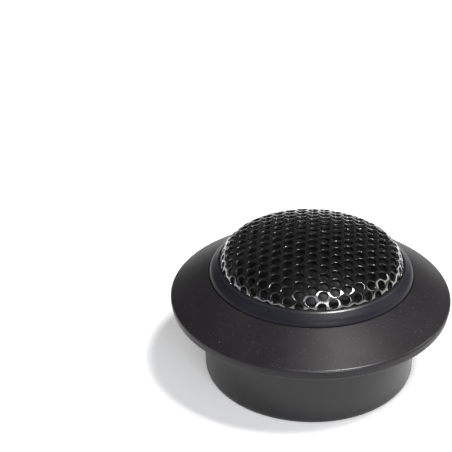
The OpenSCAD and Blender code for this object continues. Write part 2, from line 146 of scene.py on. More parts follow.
class TweeterGrilleSizes(bpy.types.PropertyGroup):
    """Sizes of the bezel and the grille"""
    bezel_wall: length("Bezel wall", "Thickness of the bezel at its foot", 1.7)
    bezel_band: length("Bezel band", "Height of the bezel's straight foot band", 0.35)
    lip: length("Lip", "Thickness and width of the lip over the grille", 0.5)
    sheet: length("Sheet", "Thickness of the perforated sheet", 0.8)
    pitch: length("Hole pitch", "Centre distance of neighbouring holes in a row, along the sheet", 2.47)
    row_pitch: length("Row pitch", "Centre distance of neighbouring rows", 2.53)
    hole: length("Hole width", "Width of a hole across its flats", 2.08)
    corner: length("Hole corner", "How far a hole's corners are filled in", 0.10)
    paint_round: length("Paint rounding", "Rounding of a hole's edges under the paint", 0.2)
    shoulder: length("Shoulder", "Rounding between the dome's upright wall and its crown", 4.0)
    tuck: length("Tuck", "How deep the sheet reaches under the lip", 0.35)


class TweeterDiaphragmSizes(bpy.types.PropertyGroup):
    """Sizes of the silk dome, the surround and the voice coil"""
    silk: length("Silk", "Thickness of the coated silk", 0.25)
    roll: length("Roll", "Width of the surround's half roll", 2.9)
    roll_rise: length("Roll rise", "Rise of the surround's half roll", 1.16)
    wire: length("Wire", "Diameter of the voice coil's wire", 0.15)
    layers: count("Layers", "Layers of wire on the former", 2, 1, 4)


class TweeterColours(bpy.types.PropertyGroup):
    """Colours of the finishes"""
    flange: colour("Flange", "Moulded plastic of the flange and cup", 0.0155, 0.0142, 0.0155)
    bezel: colour("Bezel", "Moulded plastic of the bezel", 0.010, 0.010, 0.014)
    inner: colour("Inner parts", "Moulded plastic inside the capsule", 0.024, 0.024, 0.024)
    paint: colour("Grille paint", "Gloss paint of the grille", 0.005, 0.005, 0.0052)
    rubber: colour("Rubber", "Grommet", 0.012, 0.012, 0.012)
    silk: colour("Silk", "Coated silk of the dome and surround", 0.004, 0.003, 0.0025)
    zinc: colour("Zinc", "Plated steel of the motor", 0.60, 0.61, 0.62)
    nickel: colour("Nickel", "Plated magnet", 0.66, 0.64, 0.60)
    copper: colour("Copper", "Wire of the voice coil", 0.72, 0.33, 0.13)
    film: colour("Film", "Amber film of the former", 0.50, 0.25, 0.04)
    brass: colour("Brass", "Terminals and leads", 0.78, 0.60, 0.28)
    board: colour("Board", "Resin-bonded paper board", 0.15, 0.065, 0.025)
    felt: colour("Felt", "Wool felt on the pole plate", 0.12, 0.11, 0.10)
    foam: colour("Foam", "Gasket and chamber foam", 0.040, 0.040, 0.042)
    dust: colour("Dust", "Light specks that settle on flat places", 0.30, 0.285, 0.265)


class TweeterStudio(bpy.types.PropertyGroup):
    """Camera, floor and lights"""
    distance: length("Distance", "From the camera to the middle of the rim", 350.0)
    elevation: angle("Elevation", "Camera angle above the horizon", 32.02)
    roll: angle("Roll", "Turn of the camera about its line of sight", 1.77)
    lens: FloatProperty(name="Lens", description="Focal length in millimetres", default=129.86, min=20.0)
    shift_x: FloatProperty(name="Shift X", description="Sideways shift of the lens", default=-0.1878)
    shift_y: FloatProperty(name="Shift Y", description="Upward shift of the lens", default=0.1469)
    floor: colour("Floor", "Pale floor", 0.95, 0.95, 0.95)
    floor_glow: FloatProperty(name="Floor glow", description="Light that the floor gives off", default=0.38)
    room: colour("Room", "Soft light from the room", 0.05, 0.05, 0.05)
    overhead: power("Overhead light", 5.6)
    front: power("Front light", 1.2)
    low: power("Low front light", 4.4)
    side: power("Right-hand light", 0.8)


# Mesh helpers


def rounded(corners):
    """Points of a closed outline with softened corners, each given as radius, height and rounding."""
    points = []
    for place, (x, z, rounding) in enumerate(corners):
        here = Vector((x, z))
        before = Vector(corners[place - 1][:2]) - here
        after = Vector(corners[(place + 1) % len(corners)][:2]) - here
        if rounding <= 0.0:
            points.append(here)
            continue
        start = here + before.normalized() * min(rounding, before.length * 0.49)
        end = here + after.normalized() * min(rounding, after.length * 0.49)
        steps = 3 if rounding < 0.2 * MM else 6
        for step in range(steps + 1):
            t = step / steps
            points.append(start * (1 - t) ** 2 + here * (2 * t * (1 - t)) + end * t ** 2)
    return points


def arc(x, z, radius, start, end, steps):
    """Points of an arc in an outline; the angles are in degrees."""
    angles = [math.radians(start + (end - start) * step / steps) for step in range(steps + 1)]
    return [Vector((x + radius * math.cos(angle), z + radius * math.sin(angle))) for angle in angles]


def turned(outline, steps=ROUND_STEPS):
    """A closed bmesh that turns an outline round the Z axis. A point on the axis becomes a pole."""
    form = bmesh.new()
    rings = []
    for x, z in outline:
        count = steps if x > 1e-6 else 1
        rings.append([
            form.verts.new((x * math.cos(FULL_TURN * k / count), x * math.sin(FULL_TURN * k / count), z))
            for k in range(count)
        ])
    for low, high in zip(rings, rings[1:] + rings[:1]):
        if len(low) == 1 and len(high) == 1:
            continue
        for k in range(steps):
            corners = [(low, k), (low, k + 1), (high, k + 1), (high, k)]
            form.faces.new(list(dict.fromkeys(ring[place % len(ring)] for ring, place in corners)))
    bmesh.ops.recalc_face_normals(form, faces=form.faces)
    return form


def extruded(outline, low, high):
    """A closed bmesh that raises a flat outline of (x, y) points from one height to another."""
    form = bmesh.new()
    bottom = [form.verts.new((x, y, low)) for x, y in outline]
    top = [form.verts.new((x, y, high)) for x, y in outline]
    form.faces.new(bottom)
    form.faces.new(top)
    for k in range(len(outline)):
        after = (k + 1) % len(outline)
        form.faces.new((bottom[k], bottom[after], top[after], top[k]))
    bmesh.ops.recalc_face_normals(form, faces=form.faces)
    return form


def sector(inner, outer, start, end, steps=12):
    """Flat outline of a part of a ring; the angles are in degrees."""
    return arc(0, 0, outer, start, end, steps) + arc(0, 0, inner, end, start, steps)


def shown(name, data):
    """A new object in the scene."""
    made = bpy.data.objects.new(name, data)
    bpy.context.scene.collection.objects.link(made)
    return made


def piece(name, form, material=None, sharp=32):
    """A shown object from a bmesh, with smooth shading that breaks at sharp edges."""
    mesh = bpy.data.meshes.new(name)
    form.to_mesh(mesh)
    form.free()
    made = shown(name, mesh)
    if material:
        mesh.materials.append(material)
    smooth(made, sharp)
    return made


def smooth(made, sharp):
    """Smooth shading that breaks at edges sharper than an angle in degrees."""
    made.data.shade_smooth()
    made.data.set_sharp_from_angle(angle=math.radians(sharp))


def joined(made, *others):
    """Adds the meshes of other objects to one object and removes them."""
    form = bmesh.new()
    for source in (made, *others):
        form.from_mesh(source.data)
    form.to_mesh(made.data)
    form.free()
    for other in others:
        bpy.data.objects.remove(other)
    return made


def cut(made, cutter):
    """Cuts one closed shape out of another."""
    knife = made.modifiers.new("Cut", "BOOLEAN")
    knife.operation = "DIFFERENCE"
    knife.solver = "EXACT"
    knife.object = cutter
    settle(made)
    bpy.data.objects.remove(cutter)
    return made


def settle(made):
    """Turns an object with its modifiers into a plain mesh."""
    depsgraph = bpy.context.evaluated_depsgraph_get()
    mesh = bpy.data.meshes.new_from_object(made.evaluated_get(depsgraph), depsgraph=depsgraph)
    made.modifiers.clear()
    made.data = mesh
    mesh.name = made.name
    return made


def belongs(made, body, slot, *nodes):
    """Attaches a piece to the body it rides on and hides the nodes it stands for. Its finish slot is not
    used.
    """
    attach(made, body)
    if nodes:
        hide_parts(*nodes)
    return made


def repaint(node, material):
    """Gives a carried-over node a finish."""
    slots = frame["nodes"][node].material_slots
    if not slots:
        frame["nodes"][node].data.materials.append(material)
    for slot in slots:
        slot.material = material


def recoat(made, material, chosen):
    """Gives a second finish to the faces of a piece that a test picks."""
    made.data.materials.append(material)
    for face in made.data.polygons:
        if chosen(face):
            face.material_index = len(made.data.materials) - 1


# Node helpers


def step(tree, kind, inputs=None, **options):
    """Adds a node, sets its options, and links or sets its inputs. A node stands for its first output."""
    node = tree.nodes.new(kind)
    for option, value in options.items():
        setattr(node, option, value)
    for key, value in (inputs or {}).items():
        if isinstance(value, bpy.types.Node):
            value = value.outputs[0]
        if isinstance(value, bpy.types.NodeSocket):
            tree.links.new(value, node.inputs[key])
        else:
            node.inputs[key].default_value = value
    return node


def sums(tree, operation, first, second=0.0, third=0.0):
    """Output of a math node."""
    inputs = {0: first, 1: second, 2: third}
    return step(tree, "ShaderNodeMath", inputs, operation=operation).outputs[0]


def times(tree, first, second):
    """Output of a math node that multiplies."""
    return sums(tree, "MULTIPLY", first, second)


def new_group(name, kind, inputs, outputs):
    """A node group with named inputs (name, socket type, default) and outputs (name, socket type)."""
    tree = bpy.data.node_groups.new(name, kind)
    for label, socket_type, default in inputs:
        socket = tree.interface.new_socket(label, in_out="INPUT", socket_type=socket_type)
        if default is not None:
            socket.default_value = default
    for label, socket_type in outputs:
        tree.interface.new_socket(label, in_out="OUTPUT", socket_type=socket_type)
    return tree, tree.nodes.new("NodeGroupInput").outputs, tree.nodes.new("NodeGroupOutput").inputs


def grow(base, tree, material, **sizes):
    """Runs a geometry tree on an object with its named sizes, and keeps the result as a plain mesh."""
    modifier = base.modifiers.new(tree.name, "NODES")
    modifier.node_group = tree
    values = {name.replace("_", " "): value for name, value in sizes.items()}
    values["finish"] = material
    for item in tree.interface.items_tree:
        if item.item_type == "SOCKET" and item.in_out == "INPUT" and item.name.lower() in values:
            modifier[item.identifier] = values[item.name.lower()]
    return settle(base)


def ending(tree, geometry, given, result):
    """Ends a geometry tree: what it made becomes plain geometry with the given finish."""
    real = step(tree, "GeometryNodeRealizeInstances", {"Geometry": geometry})
    painted = step(tree, "GeometryNodeSetMaterial", {"Geometry": real, "Material": given["Finish"]})
    tree.links.new(painted.outputs[0], result["Geometry"])
    return tree


def new_tree(name, sizes):
    """A geometry tree with a base, named sizes and a finish. A whole number makes a count."""
    inputs = [(label, COUNT if isinstance(size, int) else NUMBER, size) for label, size in sizes.items()]
    inputs = [("Geometry", GEOMETRY, None), *inputs, ("Finish", FINISH, None)]
    return new_group(name, "GeometryNodeTree", inputs, [("Geometry", GEOMETRY)])


GEOMETRY = "NodeSocketGeometry"
NUMBER = "NodeSocketFloat"
COUNT = "NodeSocketInt"
FINISH = "NodeSocketMaterial"


def copies_tree():
    """Geometry tree that sets copies of a piece round the Z axis."""
    tree, given, result = new_tree("Copies round the axis", {"Count": 12, "Start": 0.0})
    places = step(tree, "GeometryNodePoints", {"Count": given["Count"]})
    index = step(tree, "GeometryNodeInputIndex")
    turn = times(tree, sums(tree, "DIVIDE", index, given["Count"]), FULL_TURN)
    turn = sums(tree, "ADD", turn, given["Start"])
    heading = step(tree, "ShaderNodeCombineXYZ", {"Z": turn})
    placed = step(tree, "GeometryNodeInstanceOnPoints", {
        "Points": places, "Instance": given["Geometry"], "Rotation": heading})
    return ending(tree, placed, given, result)


def honeycomb_tree():
    """Geometry tree that tiles a sheet with one cell, trims it round and presses it into a dome."""
    tree, given, result = new_tree("Pressed honeycomb", {
        "Pitch": 2.5 * MM, "Row pitch": 2.5 * MM, "Rows": 21, "Reach": 20 * MM, "Crown": 45 * MM,
        "Shoulder": 4 * MM, "Turn": 0.35, "Top": 20 * MM})
    # Staggered rows and columns of cells, counted from the middle one
    total = times(tree, given["Rows"], given["Rows"])
    middle = sums(tree, "FLOOR", sums(tree, "DIVIDE", given["Rows"], 2.0))
    index = step(tree, "GeometryNodeInputIndex")
    column = sums(tree, "FLOOR", sums(tree, "DIVIDE", sums(tree, "ADD", index, 0.5), given["Rows"]))
    row = sums(tree, "SUBTRACT", index, times(tree, column, given["Rows"]))
    column = sums(tree, "SUBTRACT", column, middle)
    row = sums(tree, "SUBTRACT", row, middle)
    stagger = times(tree, sums(tree, "FLOORED_MODULO", column, 2.0), 0.5)
    across = times(tree, column, given["Row pitch"])
    along = times(tree, sums(tree, "ADD", row, stagger), given["Pitch"])
    spot = step(tree, "ShaderNodeCombineXYZ", {"X": across, "Y": along})
    places = step(tree, "GeometryNodePoints", {"Count": total, "Position": spot})
    placed = step(tree, "GeometryNodeInstanceOnPoints", {"Points": places, "Instance": given["Geometry"]})
    real = step(tree, "GeometryNodeRealizeInstances", {"Geometry": placed})
    sheet = step(tree, "GeometryNodeMergeByDistance", {"Geometry": real, "Distance": 0.01 * MM})
    # Trimmed where a face's middle lies past the reach
    position = step(tree, "GeometryNodeInputPosition")
    distance = step(tree, "ShaderNodeVectorMath", {0: position}, operation="LENGTH").outputs["Value"]
    past = step(tree, "FunctionNodeCompare", {0: distance, 1: given["Reach"]}, operation="GREATER_THAN")
    trimmed = step(tree, "GeometryNodeDeleteGeometry", {"Geometry": sheet, "Selection": past}, domain="FACE")
    # Distances along the sheet become turns about the crown's middle and then about the shoulder's
    spread = sums(tree, "MINIMUM", distance, given["Reach"])
    crown_length = times(tree, given["Crown"], given["Turn"])
    turn = sums(tree, "DIVIDE", sums(tree, "MINIMUM", spread, crown_length), given["Crown"])
    extra = sums(tree, "MAXIMUM", sums(tree, "SUBTRACT", spread, crown_length), 0.0)
    last = sums(tree, "ADD", turn, sums(tree, "DIVIDE", extra, given["Shoulder"]))
    out = bend(tree, given, "SINE", turn, last)
    up = bend(tree, given, "COSINE", turn, last)
    share = sums(tree, "DIVIDE", out, sums(tree, "MAXIMUM", distance, 1e-6))
    level = scaled(tree, position, share)
    lift = step(tree, "ShaderNodeCombineXYZ", {
        "Z": sums(tree, "ADD", up, sums(tree, "SUBTRACT", given["Top"], given["Crown"]))})
    place = step(tree, "ShaderNodeVectorMath", {0: level, 1: lift}, operation="ADD")
    wrapped = step(tree, "GeometryNodeSetPosition", {"Geometry": trimmed, "Position": place})
    return ending(tree, wrapped, given, result)


def bend(tree, given, wave, turn, last):
    """Sum of the crown's and the shoulder's share of a point's place, as sines or as cosines."""
    crown = times(tree, sums(tree, wave, turn), given["Crown"])
    change = sums(tree, "SUBTRACT", sums(tree, wave, last), sums(tree, wave, turn))
    return sums(tree, "ADD", crown, times(tree, change, given["Shoulder"]))


def winding_tree():
    """Geometry tree that stacks turns of wire in layers on a former."""
    tree, given, result = new_tree("Turns on a former", {
        "Radius": 12.7 * MM, "Wire": 0.15 * MM, "Turns": 15, "Layers": 2, "Foot": 0.0})
    index = step(tree, "GeometryNodeInputIndex")
    layer = sums(tree, "FLOOR", sums(tree, "DIVIDE", sums(tree, "ADD", index, 0.5), given["Turns"]))
    turn = sums(tree, "SUBTRACT", index, times(tree, layer, given["Turns"]))
    height = times(tree, sums(tree, "ADD", turn, 0.5), given["Wire"])
    spot = step(tree, "ShaderNodeCombineXYZ", {"Z": sums(tree, "ADD", height, given["Foot"])})
    places = step(tree, "GeometryNodePoints", {
        "Count": times(tree, given["Turns"], given["Layers"]), "Position": spot})
    circle = step(tree, "GeometryNodeCurvePrimitiveCircle", {"Resolution": 120, "Radius": given["Radius"]})
    section = step(tree, "GeometryNodeCurvePrimitiveCircle", {
        "Resolution": 6, "Radius": times(tree, given["Wire"], 0.5)})
    ring = step(tree, "GeometryNodeCurveToMesh", {"Curve": circle, "Profile Curve": section})
    growth = sums(tree, "DIVIDE", times(tree, layer, given["Wire"]), given["Radius"])
    size = step(tree, "ShaderNodeCombineXYZ", {
        "X": sums(tree, "ADD", growth, 1.0), "Y": sums(tree, "ADD", growth, 1.0), "Z": 1.0})
    placed = step(tree, "GeometryNodeInstanceOnPoints", {
        "Points": places, "Instance": ring, "Scale": size})
    return ending(tree, placed, given, result)


# Shared finish effects

SHADE = "NodeSocketColor"


def new_effect(name, settings):
    """A shader group with the outputs that every finish reads. A tuple makes a colour input."""
    inputs = [(label, SHADE if isinstance(value, tuple) else NUMBER, value)
              for label, value in settings.items()]
    return new_group(name, "ShaderNodeTree", inputs,
                     [("Colour", SHADE), ("Roughness", NUMBER), ("Height", NUMBER)])


def surface(tree, result, shade, roughness, height):
    """Sends an effect's values out of its group."""
    tree.links.new(shade, result["Colour"])
    tree.links.new(roughness, result["Roughness"])
    tree.links.new(height, result["Height"])
    return tree


def ranged(tree, value, low, high, new_low, new_high):
    """A value carried from one range to another."""
    inputs = {"Value": value, 1: low, 2: high, 3: new_low, 4: new_high}
    return step(tree, "ShaderNodeMapRange", inputs).outputs[0]


def scaled(tree, vector, share):
    """A vector or a colour times a value."""
    return step(tree, "ShaderNodeVectorMath", {0: vector, "Scale": share}, operation="SCALE").outputs[0]


def object_noise(tree, scale, detail, roughness=0.5):
    """Noise over the object's own coordinates; its scale is in grains per metre."""
    coordinates = step(tree, "ShaderNodeTexCoord").outputs["Object"]
    return step(tree, "ShaderNodeTexNoise", {
        "Vector": coordinates, "Scale": scale, "Detail": detail, "Roughness": roughness}).outputs["Fac"]


def moulded_group():
    """Spark-eroded grain of moulded plastic: fine pits, cloudy gloss and a slight shade change."""
    tree, given, result = new_effect("Moulded grain", {
        "Colour": (0.02, 0.02, 0.02, 1), "Grain per metre": 5000.0, "Gloss": 0.4, "Cloud": 0.08, "Dust": 0.1,
        "Dust colour": (0.4, 0.4, 0.4, 1)})
    pits = object_noise(tree, given["Grain per metre"], 3.0, 0.6)
    cloud = object_noise(tree, 90.0, 4.0)
    specks = object_noise(tree, 2600.0, 2.0)
    normal = step(tree, "ShaderNodeNewGeometry").outputs["Normal"]
    upwards = step(tree, "ShaderNodeSeparateXYZ", {0: normal}).outputs["Z"]
    flat = ranged(tree, upwards, 0.2, 0.9, 0.0, 1.0)
    loose = ranged(tree, specks, 0.68, 0.76, 0.0, 1.0)
    mask = times(tree, times(tree, loose, flat), given["Dust"])
    varied = scaled(tree, given["Colour"], ranged(tree, cloud, 0.3, 0.7, 0.85, 1.15))
    dusted = step(tree, "ShaderNodeMix", {
        "Factor": mask, 6: varied, 7: given["Dust colour"]}, data_type="RGBA").outputs[2]
    spread = ranged(tree, cloud, 0.3, 0.7, -1.0, 1.0)
    rough = sums(tree, "MULTIPLY_ADD", spread, given["Cloud"], given["Gloss"])
    return surface(tree, result, dusted, sums(tree, "MULTIPLY_ADD", mask, 0.4, rough), pits)


def turned_group():
    """Fine rings that a lathe leaves on metal, with slight stains."""
    tree, given, result = new_effect("Turned rings", {
        "Colour": (0.6, 0.6, 0.6, 1), "Rings per metre": 9000.0, "Gloss": 0.25})
    coordinates = step(tree, "ShaderNodeTexCoord").outputs["Object"]
    place = step(tree, "ShaderNodeSeparateXYZ", {0: coordinates})
    level = step(tree, "ShaderNodeCombineXYZ", {"X": place.outputs["X"], "Y": place.outputs["Y"]})
    radius = step(tree, "ShaderNodeVectorMath", {0: level}, operation="LENGTH").outputs["Value"]
    travel = sums(tree, "ADD", radius, place.outputs["Z"])
    line = step(tree, "ShaderNodeTexNoise", {"W": travel, "Scale": given["Rings per metre"], "Detail": 2.0},
                noise_dimensions="1D").outputs["Fac"]
    stain = object_noise(tree, 160.0, 4.0)
    varied = scaled(tree, given["Colour"], ranged(tree, stain, 0.3, 0.7, 0.82, 1.05))
    return surface(tree, result, varied, sums(tree, "MULTIPLY_ADD", stain, 0.2, given["Gloss"]), line)


def cloth_group():
    """Plain weave of thin threads under a coat, seen along the axis, with painted shade where the threads dip
    and a painted highlight on their crowns.
    """
    tree, given, result = new_effect("Coated weave", {
        "Colour": (0.02, 0.02, 0.02, 1), "Threads per metre": 3500.0, "Gloss": 0.3})
    coordinates = step(tree, "ShaderNodeTexCoord").outputs["Object"]
    place = step(tree, "ShaderNodeSeparateXYZ", {0: coordinates})
    turn = times(tree, given["Threads per metre"], math.pi)
    warp = sums(tree, "SINE", times(tree, place.outputs["X"], turn))
    weft = sums(tree, "SINE", times(tree, place.outputs["Y"], turn))
    height = sums(tree, "MULTIPLY_ADD", times(tree, warp, weft), 0.5, 0.5)
    pool = object_noise(tree, 260.0, 4.0)
    # Painted shade and painted highlight: the colour follows the weave's height, darker where the threads dip
    # and lighter on their crowns
    varied = scaled(tree, given["Colour"], ranged(tree, height, 0.0, 1.0, 0.75, 1.25))
    return surface(tree, result, varied, sums(tree, "MULTIPLY_ADD", pool, 0.25, given["Gloss"]), height)


def fibre_group():
    """Loose fibres or pores of felt and foam."""
    tree, given, result = new_effect("Fibres and pores", {
        "Colour": (0.1, 0.1, 0.1, 1), "Grain per metre": 2500.0, "Contrast": 0.5})
    grain = object_noise(tree, given["Grain per metre"], 6.0, 0.7)
    low = sums(tree, "SUBTRACT", 1.0, given["Contrast"])
    high = sums(tree, "ADD", 1.0, given["Contrast"])
    varied = scaled(tree, given["Colour"], ranged(tree, grain, 0.3, 0.7, low, high))
    return surface(tree, result, varied, sums(tree, "MULTIPLY_ADD", grain, 0.1, 0.85), grain)


EFFECTS = {}


def effect(name):
    """A shared effect group, built once."""
    makers = {"moulded": moulded_group, "turned": turned_group, "cloth": cloth_group, "fibre": fibre_group}
    if name not in EFFECTS:
        EFFECTS[name] = makers[name]()
    return EFFECTS[name]


def shade_of(name):
    """One of the user's colours, opaque."""
    return (*getattr(bpy.context.scene.tweeter_colours, name), 1.0)


def finish(name, kind, shade, relief, settings, shader=None):
    """A material in a named colour: a shared effect drives the colour, gloss and relief of its shader."""
    material = bpy.data.materials.get(name)
    if material:
        return material
    material = bpy.data.materials.new(name)
    material.use_nodes = True
    tree = material.node_tree
    principled = tree.nodes["Principled BSDF"]
    group = step(tree, "ShaderNodeGroup", node_tree=effect(kind))
    group.inputs["Colour"].default_value = shade_of(shade)
    for label, value in settings.items():
        group.inputs[label].default_value = value
    for label, value in (shader or {}).items():
        principled.inputs[label].default_value = value
    bump = step(tree, "ShaderNodeBump", {
        "Height": group.outputs["Height"], "Distance": relief * MM, "Strength": 1.0})
    tree.links.new(group.outputs["Colour"], principled.inputs["Base Color"])
    tree.links.new(group.outputs["Roughness"], principled.inputs["Roughness"])
    tree.links.new(bump.outputs["Normal"], principled.inputs["Normal"])
    return material


def dusty(amount):
    """Settings of the moulded effect for a piece that dust settles on."""
    return {"Dust": amount, "Dust colour": shade_of("dust")}


def flange_plastic():
    settings = {"Grain per metre": 3600.0, "Gloss": 0.43, "Cloud": 0.05, **dusty(0.3)}
    return finish("Satin black flange", "moulded", "flange", 0.022, settings,
                  {"Specular IOR Level": 0.13})


def cup_plastic():
    """The flange's plastic where it is a little glossier, on the cup."""
    settings = {"Grain per metre": 3600.0, "Gloss": 0.38, "Cloud": 0.05, "Dust": 0.0}
    return finish("Satin black cup", "moulded", "flange", 0.018, settings,
                  {"Specular IOR Level": 0.28})


def bezel_plastic():
    settings = {"Grain per metre": 6000.0, "Gloss": 0.40, "Cloud": 0.03, **dusty(0.15)}
    return finish("Satin black bezel", "moulded", "bezel", 0.006, settings,
                  {"Specular IOR Level": 0.14})


def inner_plastic():
    return finish("Plain black plastic", "moulded", "inner", 0.006,
                  {"Grain per metre": 4000.0, "Gloss": 0.45, "Dust": 0.0})


def worn_edge():
    """Moulded plastic where handling has polished its edge."""
    return finish("Polished black edge", "moulded", "flange", 0.004,
                  {"Grain per metre": 6000.0, "Gloss": 0.28, "Cloud": 0.05, "Dust": 0.0})


def polish(made, nearest, farthest, low, high):
    """Gives the worn finish to faces between two radii whose normals rise between two values."""
    recoat(made, worn_edge(), lambda face: (
        nearest < face.center.xy.length < farthest and low < face.normal.z < high))


def grille_paint():
    settings = {"Grain per metre": 1500.0, "Gloss": 0.16, "Cloud": 0.04, **dusty(0.1)}
    return finish("Gloss black paint", "moulded", "paint", 0.010, settings,
                  {"Specular IOR Level": 0.7, "Coat Weight": 1.0, "Coat Roughness": 0.10, "Coat IOR": 1.7})


def grommet_rubber():
    return finish("Black rubber", "moulded", "rubber", 0.012,
                  {"Grain per metre": 3500.0, "Gloss": 0.62, "Dust": 0.2})


def coated_silk():
    return finish("Coated silk", "cloth", "silk", 0.03,
                  {"Threads per metre": 3600.0, "Gloss": 0.38}, {"Specular IOR Level": 0.3})


def zinc_steel():
    return finish("Zinc-plated steel", "turned", "zinc", 0.006, {"Gloss": 0.22}, {"Metallic": 1.0})


def nickel_plate():
    return finish("Nickel plate", "turned", "nickel", 0.002,
                  {"Rings per metre": 3000.0, "Gloss": 0.12}, {"Metallic": 1.0})


def brass_sheet():
    return finish("Tinned brass", "turned", "brass", 0.003,
                  {"Rings per metre": 4000.0, "Gloss": 0.25}, {"Metallic": 1.0})


def copper_wire():
    return finish("Enamelled copper", "turned", "copper", 0.002, {"Gloss": 0.2},
                  {"Metallic": 1.0, "Coat Weight": 0.6})


def former_film():
    return finish("Amber film", "turned", "film", 0.002, {"Gloss": 0.15})


def paper_board():
    return finish("Resin-bonded board", "fibre", "board", 0.01,
                  {"Grain per metre": 4000.0, "Contrast": 0.2}, {"Coat Weight": 0.2})


def wool_felt():
    return finish("Wool felt", "fibre", "felt", 0.15, {"Grain per metre": 2600.0, "Contrast": 0.5},
                  {"Sheen Weight": 0.4})


def soft_foam():
    return finish("Soft foam", "fibre", "foam", 0.2, {"Grain per metre": 1800.0, "Contrast": 0.6})


# Pieces


def cone_height(radius, sizes):
    """Height of the flange's conical face at a radius."""
    mouth = BEZEL_HIGH.x + sizes.turn_gap
    share = (CUP_HIGH.x - radius) / (CUP_HIGH.x - mouth)
    return sizes.rim_height + (CUP_HIGH.z - sizes.rim_height) * share


class TWEETER_OT_flange_cup(bpy.types.Operator):
    """Make the flange and its cup, with ribs, lock ledges and fixing holes"""
    bl_idname = "tweeter.flange_cup"
    bl_label = "Flange and Cup"

    def execute(self, context):
        sizes = context.scene.tweeter_mount
        rim = CUP_HIGH.x
        mouth = BEZEL_HIGH.x + sizes.mouth_gap
        neck = SPIGOT_R - sizes.neck_step
        land = rim - sizes.rim_lean - sizes.land
        bore = SPIGOT_R - sizes.wall
        foot = SPIGOT_R - sizes.draft
        floor = CUP_LOW.z + sizes.floor
        shelf = CUP_HIGH.z - sizes.shelf_depth
        seat = GROMMET_HIGH.x + PLAY
        hole = seat - sizes.grommet_lip
        seat_top = CUP_LOW.z + sizes.grommet_flange + PLAY
        # Added to the rim's corner, which its rounding cuts back
        bulge = 0.1 * MM
        outline = rounded([
            (seat, CUP_LOW.z, 0.12 * MM),
            (foot, CUP_LOW.z, sizes.foot_round),
            (SPIGOT_R, -sizes.spigot_length, 0.6 * MM),
            (SPIGOT_R, 0.0, 0.0),
            (neck, sizes.neck_step, 0.0),
            (neck, cone_height(neck, sizes) - sizes.skin, 0.6 * MM),
            (land, cone_height(land, sizes) - sizes.skin, 0.5 * MM),
            (land, 0.0, 0.2 * MM),
            (rim - sizes.rim_lean, 0.0, 0.6 * MM),
            (rim + bulge, sizes.rim_height, 0.42 * MM),
            (mouth, CUP_HIGH.z, 0.3 * MM),
            (mouth, shelf, 0.1 * MM),
            (bore, shelf, 0.12 * MM),
            (bore, -sizes.spigot_length, 0.5 * MM),
            (foot - sizes.wall, floor, 0.6 * MM),
            (hole, floor, 0.1 * MM),
            (hole, seat_top, 0.0),
            (seat, seat_top, 0.1 * MM),
        ])
        body = piece("flange_cup", turned(outline), flange_plastic())
        cut(body, fixing_hole_cutter(floor))
        ribs = grow(self.rib(sizes, neck, land), copies_tree(), flange_plastic(),
                    count=sizes.rib_count, start=math.pi / sizes.rib_count)
        ledges = grow(self.ledge(sizes, bore), copies_tree(), flange_plastic(),
                      count=sizes.lock_count, start=0.0)
        joined(body, ribs, ledges)
        recoat(body, cup_plastic(), lambda face: face.center.z < 0)
        polish(body, rim - 0.6 * MM, rim + bulge, 0.35, 0.92)
        smooth(body, 32)
        belongs(body, "mount", "flange_plastic", "flush_cup")
        return {"FINISHED"}

    def rib(self, sizes, neck, land):
        """One stiffening rib under the flange, along X, sunk a little into what it meets."""
        sunk = 0.5 * MM
        inner = neck - sunk
        outer = land + sunk
        foot = 0.8 * MM
        half = sizes.rib_width / 2
        under = 0.4 * sizes.skin
        outline = [(inner, foot), (outer, foot), (outer, cone_height(outer, sizes) - under),
                   (inner, cone_height(inner, sizes) - under)]
        form = extruded(outline, -half, half)
        bmesh.ops.rotate(form, verts=form.verts, matrix=Matrix.Rotation(math.pi / 2, 3, "X"))
        bmesh.ops.bevel(form, geom=form.edges[:], offset=0.12 * MM, segments=2, affect="EDGES")
        return piece("rib", form)

    def ledge(self, sizes, bore):
        """One lock ledge and two stops under it; its angles are in degrees."""
        pitch = 360 / sizes.lock_count
        mouth = 12
        stop_width = 3
        stop_drop = 1.6 * MM
        inner = SHELL_HIGH.y + sizes.turn_gap
        outer = bore + sizes.wall / 2
        low = sizes.ledge_top - sizes.ledge_thickness
        ledge = piece("ledge", extruded(sector(inner, outer, mouth, pitch - mouth, 36), low, sizes.ledge_top))
        stops = []
        for start in (38, pitch - 11):
            outline = sector(inner, outer - PLAY, start, start + stop_width, 2)
            stops.append(piece("stop", extruded(outline, low - stop_drop, low + PLAY)))
        return joined(ledge, *stops)


def fixing_hole_cutter(floor):
    """Two countersunk holes through the cup's floor."""
    pattern = MOUNTS["fixing_holes"]["dims"]
    radius = pattern["hole_r_mm"] * MM
    sink = 0.9 * MM
    burr = 0.12 * MM
    low = CUP_LOW.z
    outline = [(0, low - MM), (radius + burr, low - MM), (radius + burr, low), (radius, low + burr),
               (radius, floor - sink), (radius + sink, floor), (radius + sink, floor + MM), (0, floor + MM)]
    cutters = []
    for side in (-1, 1):
        form = turned([Vector(point) for point in outline], 64)
        bmesh.ops.translate(form, verts=form.verts, vec=(side * pattern["spacing_x_mm"] * MM / 2, 0, 0))
        cutters.append(piece("fixing_hole", form))
    return joined(*cutters)


